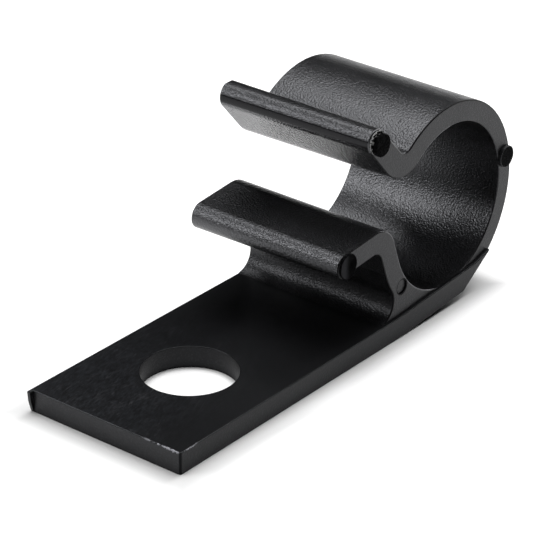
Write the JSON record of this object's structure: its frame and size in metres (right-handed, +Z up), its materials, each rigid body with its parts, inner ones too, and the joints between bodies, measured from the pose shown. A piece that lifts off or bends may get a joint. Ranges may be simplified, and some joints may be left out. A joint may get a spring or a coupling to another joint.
{
  "type": "cable clip",
  "caption": "One-piece plastic clip: an open sprung ring with flared lips that a round cable snaps into, on a flat strap with a screw hole.",
  "frame": {"origin": "axis of the screw hole at the strap's underside", "axes": "+X along the strap from the hole towards the ring, +Y along the cable towards the side with no pin marks, +Z up out of the strap"},
  "size_m": [0.0366, 0.0129, 0.0165],
  "materials": {
    "black_plastic": "black nylon with a fine spark-eroded grain, smoother and a little glossy on the strap"
  },
  "bodies": {
    "root": {"cable_clip": "black_plastic"}
  },
  "joints": []
}
